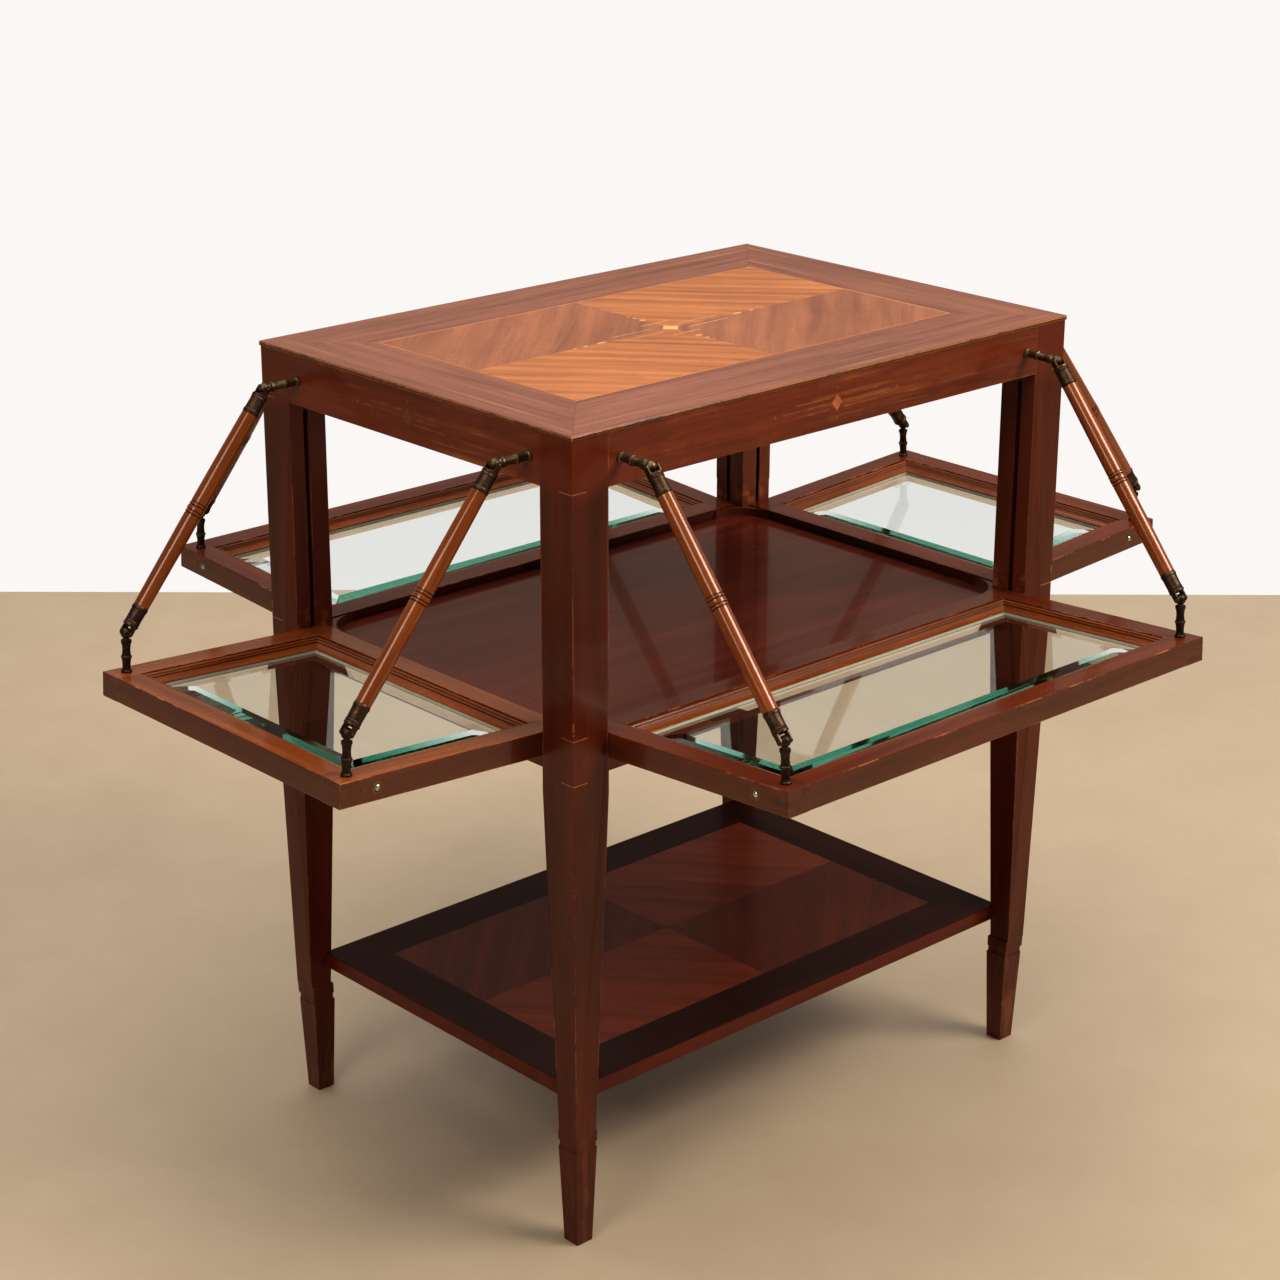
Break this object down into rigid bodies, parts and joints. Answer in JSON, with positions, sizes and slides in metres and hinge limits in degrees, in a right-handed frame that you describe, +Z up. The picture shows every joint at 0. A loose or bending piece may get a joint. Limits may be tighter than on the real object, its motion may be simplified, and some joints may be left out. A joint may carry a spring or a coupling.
{
  "type": "tabletop display case",
  "caption": "Rectangular display tea table: legs, inlaid top, middle and lower shelves, and rising glazed flaps on turned stays round the middle tier.",
  "frame": {"origin": "centre of the footprint, on the floor", "axes": "+Z up, X along the long side, Y across the depth"},
  "size_m": [1.0478, 0.8548, 0.762],
  "materials": {
    "mahogany": "polished, varnished",
    "mahogany_dark": "polished, varnished",
    "veneer": "quarter-matched veneer, varnished",
    "veneer_dark": "mitred border and quartered field, varnished",
    "border_veneer": "mitred veneer border, grain along the edge, faded",
    "inlay": "pale stringing, varnished",
    "secondary_wood": "plain softwood",
    "lacquered_wood": "turned, high gloss lacquer",
    "brass": "turned, dark patina",
    "steel": "polished",
    "glass": "bevelled plate, green edges"
  },
  "bodies": {
    "case": {"top_board": "mahogany_dark", "top_border_veneers": "border_veneer", "top_field_veneers": "veneer", "top_lines_and_motif": "inlay", "leg_front_left": "mahogany", "leg_front_right": "mahogany", "leg_back_right": "mahogany", "leg_back_left": "mahogany", "aprons_long": "mahogany", "aprons_side": "mahogany", "case_inlay": "inlay", "apron_studs": "brass", "frieze_blocks": "secondary_wood", "frieze_screws": "steel", "shelf_board": "mahogany_dark", "shelf_rails": "mahogany", "shelf_corner_fillers": "mahogany", "lower_shelf_board": "mahogany_dark", "lower_shelf_veneers": "veneer_dark"},
    "pins_front": {"pivot_pins_front": "brass"},
    "flap_front": {"flap_front_frame": "mahogany", "flap_front_beads": "mahogany", "flap_front_glass": "glass", "flap_front_studs": "brass", "flap_front_catches": "brass"},
    "stays_front": {"stay_rods_front": "lacquered_wood", "stay_ferrules_front": "brass"},
    "catch_ball_front_a": {"catch_ball_front_a": "steel"},
    "catch_ball_front_b": {"catch_ball_front_b": "steel"},
    "pins_right": {"pivot_pins_right": "brass"},
    "flap_right": {"flap_right_frame": "mahogany", "flap_right_beads": "mahogany", "flap_right_glass": "glass", "flap_right_studs": "brass", "flap_right_catches": "brass"},
    "stays_right": {"stay_rods_right": "lacquered_wood", "stay_ferrules_right": "brass"},
    "catch_ball_right_a": {"catch_ball_right_a": "steel"},
    "catch_ball_right_b": {"catch_ball_right_b": "steel"},
    "pins_back": {"pivot_pins_back": "brass"},
    "flap_back": {"flap_back_frame": "mahogany", "flap_back_beads": "mahogany", "flap_back_glass": "glass", "flap_back_studs": "brass", "flap_back_catches": "brass"},
    "stays_back": {"stay_rods_back": "lacquered_wood", "stay_ferrules_back": "brass"},
    "catch_ball_back_a": {"catch_ball_back_a": "steel"},
    "catch_ball_back_b": {"catch_ball_back_b": "steel"},
    "pins_left": {"pivot_pins_left": "brass"},
    "flap_left": {"flap_left_frame": "mahogany", "flap_left_beads": "mahogany", "flap_left_glass": "glass", "flap_left_studs": "brass", "flap_left_catches": "brass"},
    "stays_left": {"stay_rods_left": "lacquered_wood", "stay_ferrules_left": "brass"},
    "catch_ball_left_a": {"catch_ball_left_a": "steel"},
    "catch_ball_left_b": {"catch_ball_left_b": "steel"}
  },
  "joints": [
    {"name": "rise_front", "type": "slide", "parent": "case", "child": "pins_front", "axis": [0, 0, 1], "range_m": [0, 0.2184]},
    {"name": "fold_front", "type": "hinge", "parent": "pins_front", "child": "flap_front", "pos_m": [0, -0.196, 0.4814], "axis": [1, 0, 0], "range_deg": [0, 93.3]},
    {"name": "swing_front", "type": "hinge", "parent": "case", "child": "stays_front", "pos_m": [0, -0.25, 0.7343], "axis": [1, 0, 0], "range_deg": [0, 40.81]},
    {"name": "click_front_a", "type": "slide", "parent": "flap_front", "child": "catch_ball_front_a", "axis": [1, 0, 0], "range_m": [0, 0.0011], "stiffness_N_per_m": 1500, "springref_m": -0.0015},
    {"name": "click_front_b", "type": "slide", "parent": "flap_front", "child": "catch_ball_front_b", "axis": [-1, 0, 0], "range_m": [0, 0.0011], "stiffness_N_per_m": 1500, "springref_m": -0.0015},
    {"name": "rise_right", "type": "slide", "parent": "case", "child": "pins_right", "axis": [0, 0, 1], "range_m": [0, 0.2184]},
    {"name": "fold_right", "type": "hinge", "parent": "pins_right", "child": "flap_right", "pos_m": [0.2925, 0, 0.4814], "axis": [0, 1, 0], "range_deg": [0, 93.3]},
    {"name": "swing_right", "type": "hinge", "parent": "case", "child": "stays_right", "pos_m": [0.3465, 0, 0.7343], "axis": [0, 1, 0], "range_deg": [0, 40.81]},
    {"name": "click_right_a", "type": "slide", "parent": "flap_right", "child": "catch_ball_right_a", "axis": [0, 1, 0], "range_m": [0, 0.0011], "stiffness_N_per_m": 1500, "springref_m": -0.0015},
    {"name": "click_right_b", "type": "slide", "parent": "flap_right", "child": "catch_ball_right_b", "axis": [0, -1, 0], "range_m": [0, 0.0011], "stiffness_N_per_m": 1500, "springref_m": -0.0015},
    {"name": "rise_back", "type": "slide", "parent": "case", "child": "pins_back", "axis": [0, 0, 1], "range_m": [0, 0.2184]},
    {"name": "fold_back", "type": "hinge", "parent": "pins_back", "child": "flap_back", "pos_m": [0, 0.196, 0.4814], "axis": [-1, 0, 0], "range_deg": [0, 93.3]},
    {"name": "swing_back", "type": "hinge", "parent": "case", "child": "stays_back", "pos_m": [0, 0.25, 0.7343], "axis": [-1, 0, 0], "range_deg": [0, 40.81]},
    {"name": "click_back_a", "type": "slide", "parent": "flap_back", "child": "catch_ball_back_a", "axis": [-1, 0, 0], "range_m": [0, 0.0011], "stiffness_N_per_m": 1500, "springref_m": -0.0015},
    {"name": "click_back_b", "type": "slide", "parent": "flap_back", "child": "catch_ball_back_b", "axis": [1, 0, 0], "range_m": [0, 0.0011], "stiffness_N_per_m": 1500, "springref_m": -0.0015},
    {"name": "rise_left", "type": "slide", "parent": "case", "child": "pins_left", "axis": [0, 0, 1], "range_m": [0, 0.2184]},
    {"name": "fold_left", "type": "hinge", "parent": "pins_left", "child": "flap_left", "pos_m": [-0.2925, 0, 0.4814], "axis": [0, -1, 0], "range_deg": [0, 93.3]},
    {"name": "swing_left", "type": "hinge", "parent": "case", "child": "stays_left", "pos_m": [-0.3465, 0, 0.7343], "axis": [0, -1, 0], "range_deg": [0, 40.81]},
    {"name": "click_left_a", "type": "slide", "parent": "flap_left", "child": "catch_ball_left_a", "axis": [0, -1, 0], "range_m": [0, 0.0011], "stiffness_N_per_m": 1500, "springref_m": -0.0015},
    {"name": "click_left_b", "type": "slide", "parent": "flap_left", "child": "catch_ball_left_b", "axis": [0, 1, 0], "range_m": [0, 0.0011], "stiffness_N_per_m": 1500, "springref_m": -0.0015}
  ],
  "couplings": [
    {"joint": "rise_front", "follows": "fold_front", "m_per_rad": 0.13412},
    {"joint": "swing_front", "follows": "fold_front", "ratio": 0.43744},
    {"joint": "rise_right", "follows": "fold_right", "m_per_rad": 0.13412},
    {"joint": "swing_right", "follows": "fold_right", "ratio": 0.43744},
    {"joint": "rise_back", "follows": "fold_back", "m_per_rad": 0.13412},
    {"joint": "swing_back", "follows": "fold_back", "ratio": 0.43744},
    {"joint": "rise_left", "follows": "fold_left", "m_per_rad": 0.13412},
    {"joint": "swing_left", "follows": "fold_left", "ratio": 0.43744}
  ]
}
